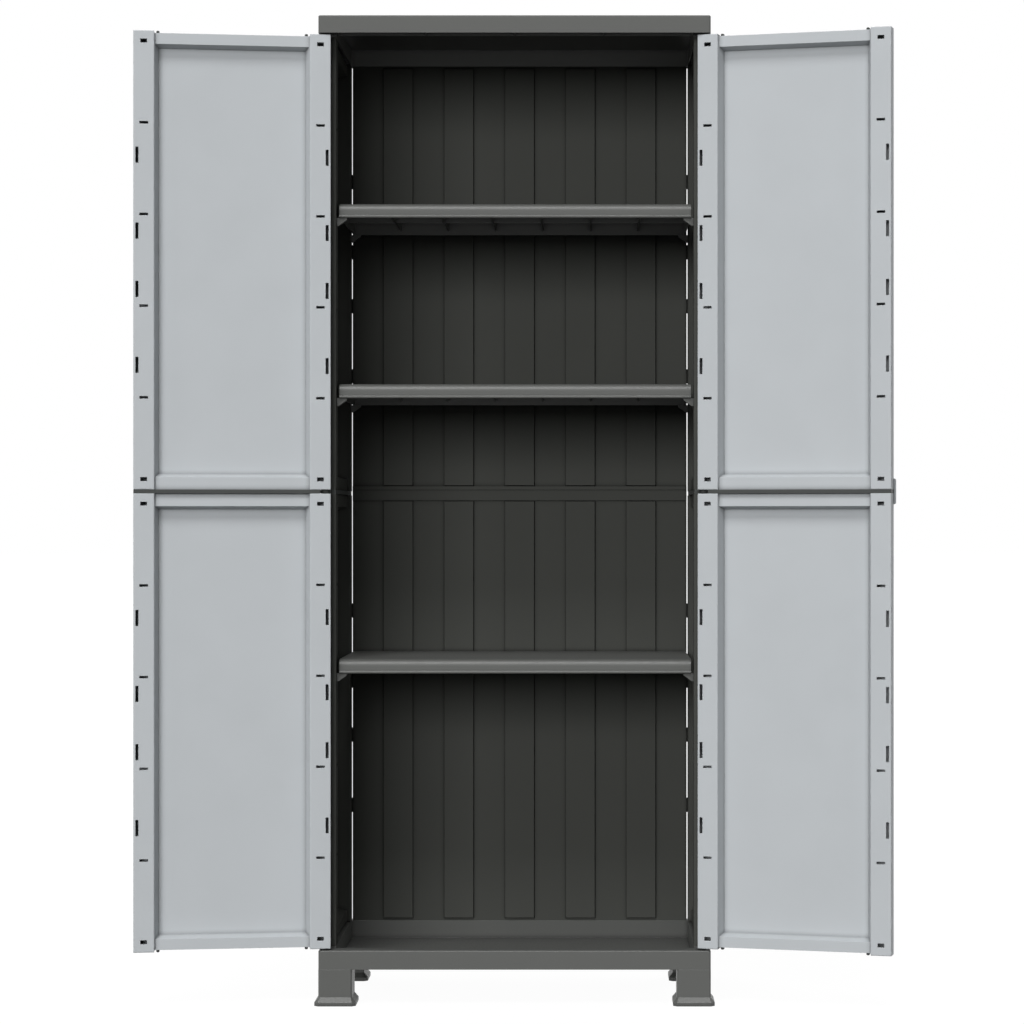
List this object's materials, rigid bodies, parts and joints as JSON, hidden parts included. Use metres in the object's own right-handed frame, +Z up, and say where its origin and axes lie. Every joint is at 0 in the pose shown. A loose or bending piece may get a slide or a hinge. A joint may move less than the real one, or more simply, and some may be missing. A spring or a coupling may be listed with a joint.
{
  "type": "plastic storage cabinet",
  "caption": "Tall two-door plastic storage cabinet on short flared feet, with framed panel doors and walls, adjustable shelves on hooked brackets and a boarded back.",
  "frame": {"origin": "on the floor, in the middle of the case as seen from above", "axes": "+Z up; +Y from the doors to the back; +X to the right as seen from the front"},
  "size_m": [1.2584, 0.4484, 1.645],
  "materials": {
    "case_plastic": "dark grey moulded polypropylene, fine grain",
    "wall_plastic": "dark grey moulded polypropylene, fine grain",
    "door_plastic": "light grey moulded polypropylene, fine grain",
    "trim_plastic": "near-black moulded polypropylene, satin"
  },
  "bodies": {
    "cabinet": {"back_joining_strip": "trim_plastic", "base_tray": "case_plastic", "front_left_foot": "case_plastic", "front_right_foot": "case_plastic", "left_side_joining_strip": "trim_plastic", "left_side_lower_panel": "wall_plastic", "left_side_pegs": "trim_plastic", "left_side_upper_panel": "wall_plastic", "lower_back_panel": "case_plastic", "lower_shelf": "case_plastic", "lower_shelf_front_left_bracket": "case_plastic", "lower_shelf_front_right_bracket": "case_plastic", "lower_shelf_rear_left_bracket": "case_plastic", "lower_shelf_rear_right_bracket": "case_plastic", "middle_shelf": "case_plastic", "middle_shelf_front_left_bracket": "case_plastic", "middle_shelf_front_right_bracket": "case_plastic", "middle_shelf_rear_left_bracket": "case_plastic", "middle_shelf_rear_right_bracket": "case_plastic", "rear_left_foot": "case_plastic", "rear_right_foot": "case_plastic", "right_side_joining_strip": "trim_plastic", "right_side_lower_panel": "wall_plastic", "right_side_pegs": "trim_plastic", "right_side_upper_panel": "wall_plastic", "top_cap": "case_plastic", "upper_back_panel": "case_plastic", "upper_shelf": "case_plastic", "upper_shelf_front_left_bracket": "case_plastic", "upper_shelf_front_right_bracket": "case_plastic", "upper_shelf_rear_left_bracket": "case_plastic", "upper_shelf_rear_right_bracket": "case_plastic"},
    "left_door": {"left_door_handle": "door_plastic", "left_door_hinge_pins": "trim_plastic", "left_door_joining_strip": "trim_plastic", "left_door_lower_panel": "door_plastic", "left_door_pegs": "trim_plastic", "left_door_upper_panel": "door_plastic"},
    "right_door": {"right_door_handle": "door_plastic", "right_door_hinge_pins": "trim_plastic", "right_door_joining_strip": "trim_plastic", "right_door_lower_panel": "door_plastic", "right_door_pegs": "trim_plastic", "right_door_upper_panel": "door_plastic"}
  },
  "joints": [
    {"name": "left_door_hinge", "type": "hinge", "parent": "cabinet", "child": "left_door", "pos_m": [-0.316, -0.17, 0.85375], "axis": [0, 0, -1], "range_deg": [-172.2, 7.8]},
    {"name": "right_door_hinge", "type": "hinge", "parent": "cabinet", "child": "right_door", "pos_m": [0.316, -0.17, 0.85375], "axis": [0, 0, 1], "range_deg": [-165.1, 14.9]}
  ]
}
